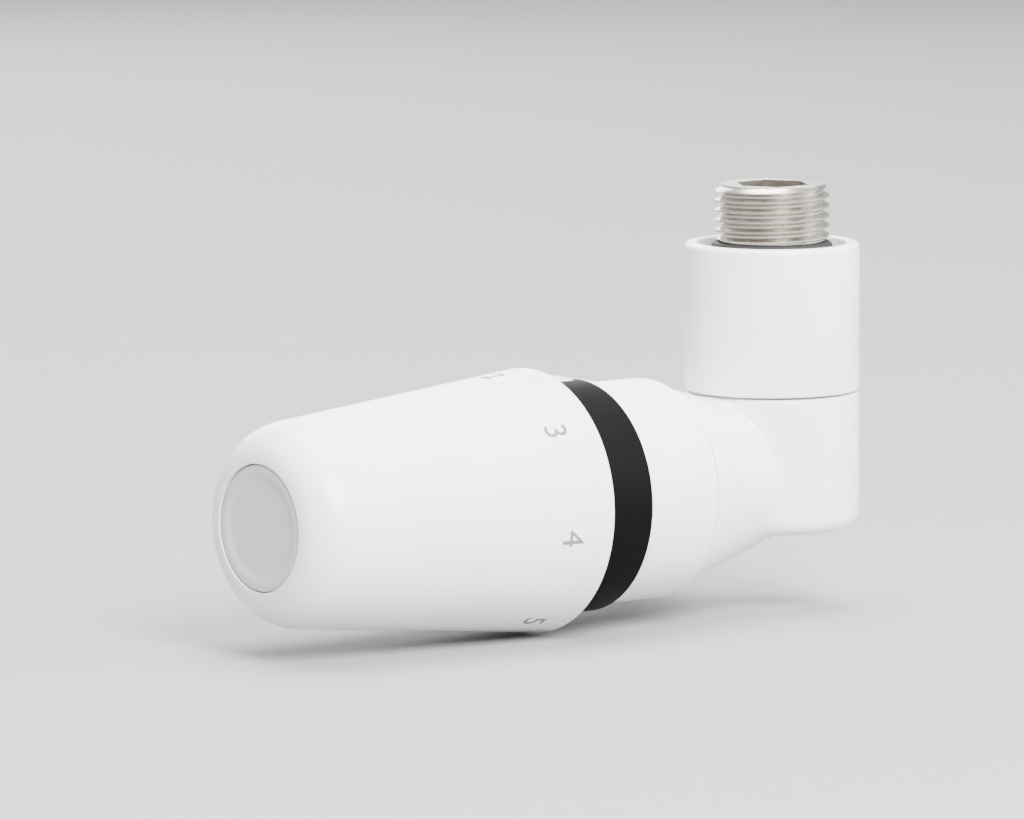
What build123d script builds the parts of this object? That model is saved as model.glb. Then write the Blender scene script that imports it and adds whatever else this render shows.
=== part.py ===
"""Corner thermostatic radiator valve with its sensor head, as separate working pieces.

Frame: origin where the tail thread starts, at the radiator's underside. +Z up into the
radiator, +Y towards the wall, +X along the wall, so the head points along -X.
Lengths are in millimetres.
"""

import os
from math import cos, radians

from build123d import *

os.makedirs("parts", exist_ok=True)

# ---- Layout of the three axes ----
head_drop = 43.5  # head and inlet axes below the radiator's underside
inlet_offset = 16.0  # inlet axis from the tail axis, towards the head

# ---- Radiator tail and its union ----
tail_thread_radius = 10.48  # G1/2 major radius
tail_thread_length = 10.0
tail_bore_radius = 5.7
tail_key_across_flats = 12.0
tail_key_depth = 8.0
tail_neck_radius = 9.6
tail_groove_radius = 8.9
tail_groove_low = -2.6
tail_groove_high = -0.4
tail_flange_radius = 12.8
tail_flange_low = -12.5
tail_flange_high = -9.5
gasket_inner = 9.0
gasket_outer = 12.5
union_radius = 16.0
union_low = -27.6
union_top = -0.6
union_lip_top = -6.5
union_lip_radius = 11.0
union_recess_radius = 13.6
union_thread_radius = 13.3

# ---- Valve body ----
body_radius = 16.0
body_foot = 9.5  # foot of the vertical branch below the head axis
body_foot_round = 3.0
body_shoulder = -28.0
spigot_radius = 13.22  # G3/4 major radius
spigot_top = -14.0
neck_start = -4.0  # the widening neck, measured along the head axis
neck_start_radius = 9.3
neck_end = 28.0
neck_end_radius = 18.8
head_thread_radius = 14.95  # M30 x 1.5
head_thread_end = 37.0
outlet_bore_radius = 7.5
lower_chamber_radius = 6.0
lower_chamber_back = -9.0
seat_orifice_radius = 5.0
seat_ridge_radius = 6.2
seat_floor = 8.3
seat_groove_floor = 8.8
seat_crest = 10.8
disc_chamber_radius = 9.6
disc_chamber_end = 24.5
insert_bore_radius = 10.5

# ---- Inlet, along +Y ----
inlet_boss_radius = 10.4  # G1/2 outside thread
inlet_boss_end = 27.0
inlet_passage_radius = 5.0
pipe_socket_radius = 7.55  # takes a 15 mm pipe
pipe_socket_floor = 16.0
olive_seat_start = 25.0
olive_seat_radius = 9.0
olive_start = 25.1
olive_end = 31.0
olive_bore_radius = 7.56
olive_radius = 9.3
olive_crown_start = 27.4
olive_crown_end = 28.8
olive_tail_radius = 7.9
inlet_nut_start = 22.0
inlet_nut_end = 36.0
inlet_nut_across_flats = 24.0
inlet_nut_corner_radius = 13.6
inlet_nut_corner_cut = 1.0
inlet_nut_thread_radius = 10.45
inlet_nut_cone_start = 29.3
inlet_nut_cone_radius = 9.5
inlet_nut_cone_end = 31.4
inlet_nut_bore_radius = 7.62
cover_radius = 15.2
cover_bore_radius = 14.1
cover_lip_radius = 11.0
cover_start = 20.6
cover_end = 48.0

# ---- Thermostatic insert, along the head axis ----
insert_start = 21.5
insert_nose_radius = 9.2
insert_nose_end = 25.2
insert_thread_radius = 10.45
insert_flange_end = 39.5
insert_flange_across_flats = 21.0
insert_neck_radius = 6.5
insert_neck_end = 46.0
spring_chamber_radius = 5.5
spring_chamber_end = 35.0
guide_bore_radius = 1.56
gland_floor = 38.0
gland_bore_radius = 4.6
insert_groove_start = 22.3
insert_groove_end = 24.3
insert_groove_radius = 7.9
retainer_end = 23.0
gland_ring_section = 1.49
gland_ring_centre = 39.6
gland_stub_start = 41.5
gland_stub_radius = 4.55
gland_head_end = 49.0
gland_across_flats = 11.0
gland_pin_bore_radius = 1.6

# ---- Spindle group ----
spindle_radius = 1.5
spindle_start = 11.5
disc_nut_start = 11.9
disc_nut_radius = 3.2
seal_face = 13.0
seal_radius = 7.0
seal_end = 15.0
holder_rim_start = 13.6
holder_radius = 7.4
holder_end = 17.0
plate_start = 29.5
plate_end = 30.7
plate_radius = 5.1
return_spring_radius = 3.9
return_spring_wire = 0.4
return_spring_turns = 4.5
push_pin_end = 53.0
button_head_radius = 7.5
button_head_end = 56.0
button_stem_radius = 4.5
button_end = 60.0
sensor_pin_radius = 3.0
sensor_pin_end = 88.0

# ---- Head union nut ----
collar_start = 28.6
collar_end = 45.3
collar_radius = 20.0
collar_thread_radius = 15.03
collar_lip_start = 41.5
collar_lip_radius = 12.75
collar_edge = 0.9

# ---- Head base ----
base_flange_radius = 14.6
base_recess_radius = 12.3
base_recess_end = 40.0
base_tube_radius = 12.5
base_tube_bore = 9.5
base_web_start = 47.0
base_web_end = 50.0
skirt_start = 45.6
skirt_end = 57.4
skirt_radius = 21.0
skirt_inner_radius = 18.3
hub_radius = 16.9
hub_end = 59.7
guide_radius = 14.9
guide_inner_radius = 13.4
guide_end = 100.0
slot_start = 66.0
slot_width = 6.0
lug_count = 3
snap_groove_start = 62.8
snap_groove_end = 64.2
snap_groove_radius = 14.25
snap_ring_start = 62.9
snap_ring_end = 64.1
snap_ring_radius = 16.8
ring_arc = 330.0
stop_inner_radius = 15.5
stop_outer_radius = 16.7
stop_length = 1.1
stop_width = 3.0
index_start = 47.4
index_end = 54.6
index_width = 1.6
index_depth = 0.5
index_proud = 0.1

# ---- Cap ----
cap_rim = 56.3
cap_rim_radius = 24.0
cap_end = 118.5
cap_end_radius = 17.8
cap_wall = 2.1
cap_end_round = 5.5
cap_rim_round = 0.8
end_disc_recess_radius = 11.5
end_disc_radius = 11.3
end_disc_seat = 117.1
cap_end_wall = 115.1
cap_flange_start = 60.0
cap_flange_end = 62.6
cap_flange_bore = 14.98
cap_flange_reach = 22.0
stop_channel_inner = 15.2
stop_channel_outer = 17.0
stop_channel_depth = 1.2
stop_wall_angle = 47.0
rib_count = 6
rib_width = 1.2
rib_reach = 20.5
sleeve_start = 70.0
sleeve_end = 92.0
sleeve_radius = 18.0
sleeve_thread_radius = 16.9

# ---- Carrier and sensor ----
carrier_start = 72.0
carrier_floor = 104.0
carrier_end = 106.0
carrier_radius = 13.1
carrier_bore_radius = 11.6
lug_start = 74.0
lug_end = 86.0
lug_radius = 16.85
lug_root_radius = 12.3
lug_width = 5.4
retaining_groove_start = 72.5
retaining_groove_end = 74.1
retaining_groove_radius = 12.2
retaining_ring_start = 72.6
retaining_ring_end = 74.0
retaining_ring_inner = 9.9
plate_face = 74.05
can_start = 76.5
can_floor = 94.0
can_end = 95.2
can_radius = 11.2
can_wall = 0.7
sensor_plate_bore = 3.06
over_spring_radius = 8.5
over_spring_wire = 0.9
over_spring_turns = 2.6
bellows_inner = 4.3
bellows_outer = 8.8
bellows_wall = 0.35
bellows_folds = 6
bellows_fold_length = 1.85

# ---- Small edges ----
fine_edge = 0.4
thread_edge = 0.8

# Each plane has its local X along one of the valve's axes and its local Y along the radius.
head_plane = Plane(origin=(0, 0, -head_drop), x_dir=(-1, 0, 0), z_dir=(0, 1, 0))
tail_plane = Plane(origin=(0, 0, 0), x_dir=(0, 0, 1), z_dir=(0, 1, 0))
inlet_plane = Plane(origin=(-inlet_offset, 0, -head_drop), x_dir=(0, 1, 0), z_dir=(1, 0, 0))
head_axis = Axis(head_plane.origin, head_plane.x_dir)
tail_axis = Axis(tail_plane.origin, tail_plane.x_dir)
inlet_axis = Axis(inlet_plane.origin, inlet_plane.x_dir)


def across(distance):
    """Plane square to the head axis, this far from the tail axis."""
    return Plane(origin=(-distance, 0, -head_drop), x_dir=(0, -1, 0), z_dir=(-1, 0, 0))


def band(start, end, inner, outer):
    """Draw the half section of a plain ring."""
    with Locations(((start + end) / 2, (inner + outer) / 2)):
        Rectangle(end - start, outer - inner)


def outline(*points):
    """Draw the half section that these corners enclose."""
    Polygon(*points, align=None)


def round_section(centre, radius, section):
    """Draw the section of a seal ring."""
    with Locations((centre, radius)):
        Circle(section)


def corner_radius(across_flats):
    """Corner radius of a hexagon with this size across flats."""
    return across_flats / 2 / cos(radians(30))


def finish(piece, label):
    """Name a piece and write its file."""
    piece.part.label = label
    export_step(piece.part, f"parts/{label}.step")


# ---- Valve body: vertical branch, widening neck, inlet boss, waterways ----
with BuildPart() as valve_body:
    with BuildSketch(tail_plane):
        band(-head_drop - body_foot, body_shoulder, 0, body_radius)
    revolve(axis=tail_axis)
    foot = valve_body.edges().filter_by(GeomType.CIRCLE).sort_by(Axis.Z)[0]
    fillet(foot, radius=body_foot_round)
    with BuildSketch(tail_plane):
        band(body_shoulder, spigot_top, 0, spigot_radius)
    revolve(axis=tail_axis)
    with BuildSketch(head_plane):
        outline(
            (neck_start, 0),
            (neck_start, neck_start_radius),
            (neck_end, neck_end_radius),
            (neck_end, head_thread_radius),
            (head_thread_end - thread_edge, head_thread_radius),
            (head_thread_end, head_thread_radius - thread_edge),
            (head_thread_end, 0),
        )
    revolve(axis=head_axis)
    with BuildSketch(inlet_plane):
        band(0, inlet_boss_end, 0, inlet_boss_radius)
    revolve(axis=inlet_axis)
    with BuildSketch(tail_plane):
        band(-head_drop, spigot_top, 0, outlet_bore_radius)
    revolve(axis=tail_axis, mode=Mode.SUBTRACT)
    with BuildSketch(head_plane):
        band(lower_chamber_back, seat_floor, 0, lower_chamber_radius)
        band(seat_floor, seat_crest, 0, seat_orifice_radius)
        band(seat_groove_floor, seat_crest, seat_ridge_radius, disc_chamber_radius)
        band(seat_crest, disc_chamber_end, 0, disc_chamber_radius)
        band(disc_chamber_end, head_thread_end, 0, insert_bore_radius)
    revolve(axis=head_axis, mode=Mode.SUBTRACT)
    with BuildSketch(inlet_plane):
        band(0, pipe_socket_floor, 0, inlet_passage_radius)
        band(pipe_socket_floor, inlet_boss_end, 0, pipe_socket_radius)
        outline(
            (olive_seat_start, 0),
            (olive_seat_start, pipe_socket_radius),
            (inlet_boss_end, olive_seat_radius),
            (inlet_boss_end, 0),
        )
    revolve(axis=inlet_axis, mode=Mode.SUBTRACT)
finish(valve_body, "valve_body")

# ---- Union nut that draws the tail onto the body ----
with BuildPart() as union_nut:
    with BuildSketch(tail_plane):
        band(union_low, tail_flange_high, union_thread_radius, union_radius)
        band(tail_flange_high, union_lip_top, union_lip_radius, union_radius)
        band(union_lip_top, union_top, union_recess_radius, union_radius)
    revolve(axis=tail_axis)
    rims = union_nut.edges().filter_by(lambda edge: edge.geom_type == GeomType.CIRCLE)
    outer_rims = rims.filter_by(lambda edge: abs(edge.radius - union_radius) < fine_edge)
    chamfer(outer_rims, length=fine_edge)
finish(union_nut, "union_nut")

# ---- Radiator tail: flange, neck, seal groove, thread, key socket ----
with BuildPart() as radiator_tail:
    with BuildSketch(tail_plane):
        band(tail_flange_low, tail_flange_high, 0, tail_flange_radius)
        band(tail_flange_high, tail_groove_low, 0, tail_neck_radius)
        band(tail_groove_low, tail_groove_high, 0, tail_groove_radius)
        band(tail_groove_high, 0, 0, tail_neck_radius)
        outline(
            (0, 0),
            (0, tail_thread_radius),
            (tail_thread_length - thread_edge, tail_thread_radius),
            (tail_thread_length, tail_thread_radius - thread_edge),
            (tail_thread_length, 0),
        )
    revolve(axis=tail_axis)
    with BuildSketch(tail_plane):
        band(tail_flange_low, tail_thread_length, 0, tail_bore_radius)
    revolve(axis=tail_axis, mode=Mode.SUBTRACT)
    with BuildSketch(Plane.XY.offset(tail_thread_length)):
        RegularPolygon(radius=corner_radius(tail_key_across_flats), side_count=6)
    extrude(amount=-tail_key_depth, mode=Mode.SUBTRACT)
finish(radiator_tail, "radiator_tail")

# ---- Flat gasket between the body and the tail ----
with BuildPart() as tail_gasket:
    with BuildSketch(tail_plane):
        band(spigot_top, tail_flange_low, gasket_inner, gasket_outer)
    revolve(axis=tail_axis)
finish(tail_gasket, "tail_gasket")

# ---- Seal ring at the root of the tail's thread ----
with BuildPart() as tail_seal_ring:
    tail_seal_section = (tail_groove_high - tail_groove_low) / 2
    with BuildSketch(tail_plane):
        round_section(
            (tail_groove_high + tail_groove_low) / 2,
            tail_groove_radius + tail_seal_section,
            tail_seal_section,
        )
    revolve(axis=tail_axis)
finish(tail_seal_ring, "tail_seal_ring")

# ---- Olive that grips the supply pipe ----
with BuildPart() as inlet_olive:
    with BuildSketch(inlet_plane):
        outline(
            (olive_start, olive_bore_radius),
            (olive_crown_start, olive_radius),
            (olive_crown_end, olive_radius),
            (olive_end, olive_tail_radius),
            (olive_end, olive_bore_radius),
        )
    revolve(axis=inlet_axis)
finish(inlet_olive, "inlet_olive")

# ---- Compression nut on the inlet ----
with BuildPart() as inlet_nut:
    with BuildSketch(Plane(origin=(-inlet_offset, inlet_nut_start, -head_drop), z_dir=(0, 1, 0))):
        RegularPolygon(radius=corner_radius(inlet_nut_across_flats), side_count=6)
    extrude(amount=inlet_nut_end - inlet_nut_start)
    with BuildSketch(inlet_plane):
        outline(
            (inlet_nut_start, 0),
            (inlet_nut_start, inlet_nut_corner_radius - inlet_nut_corner_cut),
            (inlet_nut_start + inlet_nut_corner_cut, inlet_nut_corner_radius),
            (inlet_nut_end - inlet_nut_corner_cut, inlet_nut_corner_radius),
            (inlet_nut_end, inlet_nut_corner_radius - inlet_nut_corner_cut),
            (inlet_nut_end, 0),
        )
    revolve(axis=inlet_axis, mode=Mode.INTERSECT)
    with BuildSketch(inlet_plane):
        band(inlet_nut_start, inlet_nut_cone_start, 0, inlet_nut_thread_radius)
        outline(
            (inlet_nut_cone_start, 0),
            (inlet_nut_cone_start, inlet_nut_cone_radius),
            (inlet_nut_cone_end, inlet_nut_bore_radius),
            (inlet_nut_end, inlet_nut_bore_radius),
            (inlet_nut_end, 0),
        )
    revolve(axis=inlet_axis, mode=Mode.SUBTRACT)
finish(inlet_nut, "inlet_nut")

# ---- Cover sleeve over the compression nut and the pipe end ----
with BuildPart() as inlet_cover:
    with BuildSketch(inlet_plane):
        band(cover_start, inlet_nut_start, cover_lip_radius, cover_radius)
        band(inlet_nut_start, cover_end, cover_bore_radius, cover_radius)
    revolve(axis=inlet_axis)
finish(inlet_cover, "inlet_cover")

# ---- Thermostatic insert housing ----
with BuildPart() as insert_housing:
    with BuildSketch(head_plane):
        band(insert_start, insert_nose_end, 0, insert_nose_radius)
        band(insert_nose_end, head_thread_end, 0, insert_thread_radius)
        band(head_thread_end, insert_neck_end, 0, insert_neck_radius)
    revolve(axis=head_axis)
    with BuildSketch(across(head_thread_end)):
        RegularPolygon(radius=corner_radius(insert_flange_across_flats), side_count=6)
    extrude(amount=insert_flange_end - head_thread_end)
    with BuildSketch(head_plane):
        band(insert_groove_start, insert_groove_end, insert_groove_radius, insert_thread_radius)
        band(insert_start, spring_chamber_end, 0, spring_chamber_radius)
        band(spring_chamber_end, gland_floor, 0, guide_bore_radius)
        band(gland_floor, insert_neck_end, 0, gland_bore_radius)
    revolve(axis=head_axis, mode=Mode.SUBTRACT)
finish(insert_housing, "insert_housing")

# ---- O-ring between the insert and the body ----
with BuildPart() as insert_o_ring:
    insert_ring_section = (disc_chamber_radius - insert_groove_radius) / 2
    with BuildSketch(head_plane):
        round_section(
            (insert_groove_start + insert_groove_end) / 2,
            insert_groove_radius + insert_ring_section,
            insert_ring_section,
        )
    revolve(axis=head_axis)
finish(insert_o_ring, "insert_o_ring")

# ---- Retainer that closes the spring chamber and guides the spindle ----
with BuildPart() as spring_retainer:
    with BuildSketch(head_plane):
        band(insert_start, retainer_end, guide_bore_radius, spring_chamber_radius)
    revolve(axis=head_axis)
finish(spring_retainer, "spring_retainer")

# ---- Gland O-ring around the push pin ----
with BuildPart() as gland_o_ring:
    with BuildSketch(head_plane):
        round_section(gland_ring_centre, guide_bore_radius + gland_ring_section, gland_ring_section)
    revolve(axis=head_axis)
finish(gland_o_ring, "gland_o_ring")

# ---- Gland nut ----
with BuildPart() as gland_nut:
    with BuildSketch(across(insert_neck_end)):
        RegularPolygon(radius=corner_radius(gland_across_flats), side_count=6)
    extrude(amount=gland_head_end - insert_neck_end)
    with BuildSketch(head_plane):
        band(gland_stub_start, insert_neck_end, 0, gland_stub_radius)
    revolve(axis=head_axis)
    with BuildSketch(head_plane):
        band(gland_stub_start, gland_head_end, 0, gland_pin_bore_radius)
    revolve(axis=head_axis, mode=Mode.SUBTRACT)
finish(gland_nut, "gland_nut")

# ---- Spindle ----
with BuildPart() as spindle:
    with BuildSketch(head_plane):
        band(spindle_start, plate_start, 0, spindle_radius)
    revolve(axis=head_axis)
finish(spindle, "spindle")

# ---- Nut that clamps the seal disc on the spindle ----
with BuildPart() as disc_nut:
    with BuildSketch(head_plane):
        band(disc_nut_start, seal_face, spindle_radius, disc_nut_radius)
    revolve(axis=head_axis)
finish(disc_nut, "disc_nut")

# ---- Rubber seal disc ----
with BuildPart() as seal_disc:
    with BuildSketch(head_plane):
        band(seal_face, seal_end, spindle_radius, seal_radius)
    revolve(axis=head_axis)
finish(seal_disc, "seal_disc")

# ---- Disc holder ----
with BuildPart() as disc_holder:
    with BuildSketch(head_plane):
        band(seal_end, holder_end, spindle_radius, holder_radius)
        band(holder_rim_start, seal_end, seal_radius, holder_radius)
    revolve(axis=head_axis)
finish(disc_holder, "disc_holder")

# ---- Plate that the return spring pushes on ----
with BuildPart() as spring_plate:
    with BuildSketch(head_plane):
        band(plate_start, plate_end, 0, plate_radius)
    revolve(axis=head_axis)
finish(spring_plate, "spring_plate")

# ---- Return spring ----
with BuildPart() as return_spring:
    return_spring_rise = plate_start - retainer_end - 2 * return_spring_wire
    with BuildLine():
        return_coil = Helix(
            pitch=return_spring_rise / return_spring_turns,
            height=return_spring_rise,
            radius=return_spring_radius,
            center=(-retainer_end - return_spring_wire, 0, -head_drop),
            direction=(-1, 0, 0),
        )
    with BuildSketch(Plane(origin=return_coil @ 0, z_dir=return_coil % 0)):
        Circle(return_spring_wire)
    sweep(path=return_coil, is_frenet=True)
finish(return_spring, "return_spring")

# ---- Push pin through the gland ----
with BuildPart() as push_pin:
    with BuildSketch(head_plane):
        band(plate_end, push_pin_end, 0, spindle_radius)
    revolve(axis=head_axis)
    chamfer(push_pin.edges().sort_by(Axis.X)[0], length=fine_edge)
finish(push_pin, "push_pin")

# ---- Button between the sensor and the push pin ----
with BuildPart() as pressure_button:
    with BuildSketch(head_plane):
        band(push_pin_end, button_head_end, 0, button_head_radius)
        band(button_head_end, button_end, 0, button_stem_radius)
    revolve(axis=head_axis)
finish(pressure_button, "pressure_button")

# ---- Sensor pin ----
with BuildPart() as sensor_pin:
    with BuildSketch(head_plane):
        band(button_end, sensor_pin_end, 0, sensor_pin_radius)
    revolve(axis=head_axis)
finish(sensor_pin, "sensor_pin")

# ---- Head union nut: the white collar ----
with BuildPart() as head_union_nut:
    with BuildSketch(head_plane):
        band(collar_start, collar_lip_start, collar_thread_radius, collar_radius)
        band(collar_lip_start, collar_end, collar_lip_radius, collar_radius)
    revolve(axis=head_axis)
    collar_rims = head_union_nut.edges().filter_by(GeomType.CIRCLE)
    collar_outer_rims = collar_rims.filter_by(
        lambda edge: abs(edge.radius - collar_radius) < fine_edge
    )
    fillet(collar_outer_rims, radius=collar_edge)
finish(head_union_nut, "head_union_nut")

# ---- Head base: black skirt, bearing hub, rotation stop and slotted guide tube ----
with BuildPart() as head_base:
    with BuildSketch(head_plane):
        band(head_thread_end, base_recess_end, base_recess_radius, base_flange_radius)
        band(base_recess_end, collar_lip_start, base_tube_bore, base_flange_radius)
        band(collar_lip_start, base_web_start, base_tube_bore, base_tube_radius)
        band(base_web_start, base_web_end, base_tube_bore, skirt_radius)
        band(skirt_start, skirt_end, skirt_inner_radius, skirt_radius)
        band(base_web_end, hub_end, guide_inner_radius, hub_radius)
        band(base_web_end, guide_end, guide_inner_radius, guide_radius)
    revolve(axis=head_axis)
    with BuildSketch(head_plane):
        band(snap_groove_start, snap_groove_end, snap_groove_radius, hub_radius)
    revolve(axis=head_axis, mode=Mode.SUBTRACT)
    with BuildSketch(across(slot_start)):
        with PolarLocations(guide_radius, lug_count, start_angle=90):
            Rectangle(2 * guide_radius - guide_inner_radius, slot_width)
    extrude(amount=guide_end - slot_start, mode=Mode.SUBTRACT)
    with BuildSketch(across(hub_end)):
        with Locations((0, -(stop_inner_radius + stop_outer_radius) / 2)):
            Rectangle(stop_width, stop_outer_radius - stop_inner_radius)
    extrude(amount=stop_length)
    with BuildSketch(across(index_start)):
        with Locations((0, skirt_radius)):
            Rectangle(index_width, 2 * index_depth)
    extrude(amount=index_end - index_start, mode=Mode.SUBTRACT)
finish(head_base, "head_base")

# ---- Index mark let into the black skirt ----
with BuildPart() as index_mark:
    with BuildSketch(across(index_start)):
        with Locations((0, skirt_radius - (index_depth - index_proud) / 2)):
            Rectangle(index_width, index_depth + index_proud)
    extrude(amount=index_end - index_start)
finish(index_mark, "index_mark")

# ---- Snap ring that keeps the cap on the guide tube ----
with BuildPart() as snap_ring:
    with BuildSketch(head_plane):
        band(snap_ring_start, snap_ring_end, snap_groove_radius, snap_ring_radius)
    revolve(axis=head_axis, revolution_arc=ring_arc)
finish(snap_ring, "snap_ring")

# ---- Cap: tapering handwheel with bearing flange, stop channel and ribs ----
with BuildPart() as cap_shell:
    with BuildSketch(head_plane):
        outline(
            (cap_rim, cap_rim_radius - cap_wall),
            (cap_rim, cap_rim_radius),
            (cap_end, cap_end_radius),
            (cap_end, end_disc_recess_radius),
            (end_disc_seat, end_disc_recess_radius),
            (end_disc_seat, 0),
            (cap_end_wall, 0),
            (cap_end_wall, cap_end_radius - cap_wall),
        )
    revolve(axis=head_axis)
    cap_circles = cap_shell.edges().filter_by(GeomType.CIRCLE)
    front_edge = cap_circles.filter_by(lambda edge: abs(edge.radius - cap_end_radius) < fine_edge)
    fillet(front_edge, radius=cap_end_round)
    rim_edge = (
        cap_shell.edges()
        .filter_by(GeomType.CIRCLE)
        .filter_by(lambda edge: abs(edge.radius - cap_rim_radius) < fine_edge)
    )
    fillet(rim_edge, radius=cap_rim_round)
    with BuildSketch(head_plane):
        band(cap_flange_start, cap_flange_end, cap_flange_bore, cap_flange_reach)
    revolve(axis=head_axis)
    stop_plane = head_plane.rotated((-stop_wall_angle / 2, 0, 0))
    with BuildSketch(stop_plane):
        band(
            cap_flange_start,
            cap_flange_start + stop_channel_depth,
            stop_channel_inner,
            stop_channel_outer,
        )
    revolve(axis=head_axis, revolution_arc=360 - stop_wall_angle, mode=Mode.SUBTRACT)
    with BuildSketch(across(sleeve_start)):
        with PolarLocations((sleeve_radius + rib_reach) / 2, rib_count):
            Rectangle(rib_reach - sleeve_radius, rib_width)
    extrude(amount=sleeve_end - sleeve_start)
    with BuildSketch(head_plane):
        outline(
            (cap_rim - cap_wall, cap_rim_radius + cap_wall),
            (cap_rim, cap_rim_radius),
            (cap_end, cap_end_radius),
            (cap_end, cap_rim_radius + cap_wall),
        )
    revolve(axis=head_axis, mode=Mode.SUBTRACT)
finish(cap_shell, "cap_shell")

# ---- Disc in the cap's front face ----
with BuildPart() as cap_end_disc:
    with BuildSketch(head_plane):
        band(end_disc_seat, cap_end, 0, end_disc_radius)
    revolve(axis=head_axis)
    chamfer(cap_end_disc.edges().sort_by(Axis.X)[0], length=fine_edge)
finish(cap_end_disc, "cap_end_disc")

# ---- Threaded sleeve inside the cap ----
with BuildPart() as thread_sleeve:
    with BuildSketch(head_plane):
        band(sleeve_start, sleeve_end, sleeve_thread_radius, sleeve_radius)
    revolve(axis=head_axis)
finish(thread_sleeve, "thread_sleeve")

# ---- Sensor carrier: cup with lugs that reach the sleeve's thread ----
with BuildPart() as sensor_carrier:
    with BuildSketch(head_plane):
        band(carrier_start, carrier_floor, carrier_bore_radius, carrier_radius)
        band(carrier_floor, carrier_end, 0, carrier_radius)
    revolve(axis=head_axis)
    with BuildSketch(across(lug_start)) as lug_sketch:
        with PolarLocations((lug_root_radius + lug_radius) / 2, lug_count, start_angle=90):
            Rectangle(lug_radius - lug_root_radius + lug_width, lug_width)
        Circle(lug_radius, mode=Mode.INTERSECT)
        Circle(lug_root_radius, mode=Mode.SUBTRACT)
    extrude(amount=lug_end - lug_start)
    with BuildSketch(head_plane):
        band(
            retaining_groove_start,
            retaining_groove_end,
            carrier_bore_radius,
            retaining_groove_radius,
        )
    revolve(axis=head_axis, mode=Mode.SUBTRACT)
finish(sensor_carrier, "sensor_carrier")

# ---- Ring that keeps the sensor in its carrier ----
with BuildPart() as sensor_ring:
    with BuildSketch(head_plane):
        band(
            retaining_ring_start,
            retaining_ring_end,
            retaining_ring_inner,
            retaining_groove_radius,
        )
    revolve(axis=head_axis, revolution_arc=ring_arc)
finish(sensor_ring, "sensor_ring")

# ---- Over-travel spring between the carrier and the sensor ----
with BuildPart() as over_travel_spring:
    over_spring_rise = carrier_floor - can_end - 2 * over_spring_wire
    with BuildLine():
        over_coil = Helix(
            pitch=over_spring_rise / over_spring_turns,
            height=over_spring_rise,
            radius=over_spring_radius,
            center=(-can_end - over_spring_wire, 0, -head_drop),
            direction=(-1, 0, 0),
        )
    with BuildSketch(Plane(origin=over_coil @ 0, z_dir=over_coil % 0)):
        Circle(over_spring_wire)
    sweep(path=over_coil, is_frenet=True)
finish(over_travel_spring, "over_travel_spring")

# ---- Sensor can ----
with BuildPart() as sensor_can:
    with BuildSketch(head_plane):
        band(can_start, can_floor, can_radius - can_wall, can_radius)
        band(can_floor, can_end, 0, can_radius)
    revolve(axis=head_axis)
    chamfer(sensor_can.edges().sort_by(Axis.X)[0], length=fine_edge)
finish(sensor_can, "sensor_can")

# ---- End plate of the sensor, guiding its pin ----
with BuildPart() as sensor_plate:
    with BuildSketch(head_plane):
        band(plate_face, can_start, sensor_plate_bore, can_radius)
    revolve(axis=head_axis)
finish(sensor_plate, "sensor_plate")

# ---- Bellows inside the sensor ----
with BuildPart() as sensor_bellows:
    fold_corners = []
    for fold in range(bellows_folds):
        fold_corners.append((can_start + fold * bellows_fold_length, bellows_inner))
        fold_corners.append((can_start + (fold + 0.5) * bellows_fold_length, bellows_outer))
    fold_corners.append((can_start + bellows_folds * bellows_fold_length, bellows_inner))
    outer_corners = [(along, radius + bellows_wall) for along, radius in reversed(fold_corners)]
    with BuildSketch(head_plane):
        outline(*fold_corners, *outer_corners)
        band(fold_corners[-1][0], sensor_pin_end, bellows_inner, bellows_inner + bellows_wall)
        band(sensor_pin_end, sensor_pin_end + bellows_wall, 0, bellows_inner + bellows_wall)
    revolve(axis=head_axis)
finish(sensor_bellows, "sensor_bellows")
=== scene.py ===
from math import cos, hypot, pi, radians, sin

import bmesh
import bpy
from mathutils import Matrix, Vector


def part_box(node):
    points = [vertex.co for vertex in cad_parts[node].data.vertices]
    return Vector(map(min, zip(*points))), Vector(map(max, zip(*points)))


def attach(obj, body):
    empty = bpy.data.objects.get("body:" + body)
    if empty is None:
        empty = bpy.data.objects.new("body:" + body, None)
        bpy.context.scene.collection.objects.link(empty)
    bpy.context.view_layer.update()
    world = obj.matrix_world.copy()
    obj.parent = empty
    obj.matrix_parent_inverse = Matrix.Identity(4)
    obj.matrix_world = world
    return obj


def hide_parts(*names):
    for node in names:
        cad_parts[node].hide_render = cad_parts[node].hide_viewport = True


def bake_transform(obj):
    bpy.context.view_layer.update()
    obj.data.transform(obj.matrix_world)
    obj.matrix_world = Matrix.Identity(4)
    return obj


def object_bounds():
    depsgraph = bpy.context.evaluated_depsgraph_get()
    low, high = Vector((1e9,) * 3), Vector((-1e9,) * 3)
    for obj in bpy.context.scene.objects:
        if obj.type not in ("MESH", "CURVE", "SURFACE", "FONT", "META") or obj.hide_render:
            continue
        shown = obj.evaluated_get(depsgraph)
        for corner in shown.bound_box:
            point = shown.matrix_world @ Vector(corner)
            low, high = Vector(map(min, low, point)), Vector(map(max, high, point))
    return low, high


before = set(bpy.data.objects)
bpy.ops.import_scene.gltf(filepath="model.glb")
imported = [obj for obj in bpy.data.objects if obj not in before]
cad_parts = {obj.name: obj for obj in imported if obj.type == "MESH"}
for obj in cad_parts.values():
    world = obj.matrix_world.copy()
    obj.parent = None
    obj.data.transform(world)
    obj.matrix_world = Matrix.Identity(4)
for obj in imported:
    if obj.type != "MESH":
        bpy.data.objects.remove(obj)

bl_info = {
    "name": "Corner thermostatic radiator valve",
    "version": (1, 0, 0),
    "blender": (4, 5, 0),
    "location": "3D View > Sidebar > Valve",
    "description": "Builds the visible pieces and finishes of a corner thermostatic radiator valve",
    "category": "Object",
}

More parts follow.
